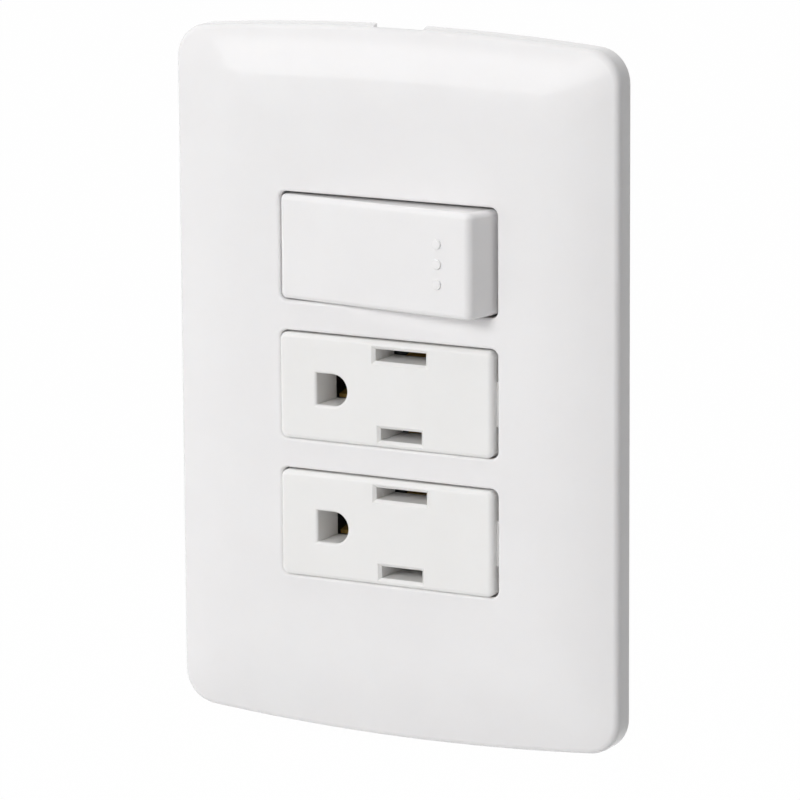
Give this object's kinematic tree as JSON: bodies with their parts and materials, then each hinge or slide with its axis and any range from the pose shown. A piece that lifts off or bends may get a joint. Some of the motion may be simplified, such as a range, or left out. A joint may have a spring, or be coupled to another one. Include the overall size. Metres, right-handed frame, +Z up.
{
  "type": "switch and socket combination",
  "caption": "Wall plate with a rocker switch above earthed sockets, on a frame that screws to a wall box.",
  "frame": {"origin": "on the wall, midway between the two screw holes of the mounting frame", "axes": "+X to the right seen from the front, +Z up, +Y into the wall; the front looks along -Y"},
  "size_m": [0.0788, 0.0331, 0.1142],
  "materials": {
    "cover_white": "smooth, slightly glossy",
    "key_white": "smooth, slightly glossy",
    "socket_white": "smooth, slightly glossy",
    "carrier_white": "smooth",
    "frame_grey": "matt moulding",
    "housing_grey": "matt moulding",
    "plunger_natural": "satin",
    "contact_brass": "rolled strip",
    "lever_brass": "rolled strip",
    "contact_silver": "satin",
    "screw_zinc": "bright zinc",
    "clamp_zinc": "bright zinc",
    "spring_steel": "drawn wire"
  },
  "bodies": {
    "housing": {"cover_plate": "cover_white", "mounting_frame": "frame_grey", "switch_carrier": "carrier_white", "switch_base": "housing_grey", "fixed_contact": "contact_silver", "switched_terminal": "contact_brass", "common_terminal": "contact_brass", "switch_terminal_screws": "screw_zinc", "switch_clamp_plates": "clamp_zinc", "socket_1_face": "socket_white", "socket_1_base": "housing_grey", "socket_1_line_contact": "contact_brass", "socket_1_neutral_contact": "contact_brass", "socket_1_earth_contact": "contact_brass", "socket_1_terminal_screws": "screw_zinc", "socket_1_clamp_plates": "clamp_zinc", "socket_2_face": "socket_white", "socket_2_base": "housing_grey", "socket_2_line_contact": "contact_brass", "socket_2_neutral_contact": "contact_brass", "socket_2_earth_contact": "contact_brass", "socket_2_terminal_screws": "screw_zinc", "socket_2_clamp_plates": "clamp_zinc"},
    "rocker": {"rocker_key": "key_white", "plunger_spring": "spring_steel"},
    "plunger": {"rocker_plunger": "plunger_natural"},
    "lever": {"contact_lever": "lever_brass", "lever_contact": "contact_silver"}
  },
  "joints": [
    {"name": "rocker_pivot", "type": "hinge", "parent": "housing", "child": "rocker", "pos_m": [-0.00015, -0.00217, 0.02155], "axis": [0, 0, 1], "range_deg": [0, 14.4]},
    {"name": "plunger_slide", "type": "slide", "parent": "rocker", "child": "plunger", "axis": [-0.1253, -0.9921, 0], "range_m": [0, 0.0008], "stiffness_N_per_m": 400, "springref_m": -0.002, "deforming": ["plunger_spring"]},
    {"name": "lever_pivot", "type": "hinge", "parent": "housing", "child": "lever", "pos_m": [-0.00015, 0.011, 0.02155], "axis": [0, 0, 1], "range_deg": [-14.4, 0]}
  ],
  "couplings": [
    {"joint": "lever_pivot", "follows": "rocker_pivot", "ratio": -1}
  ]
}
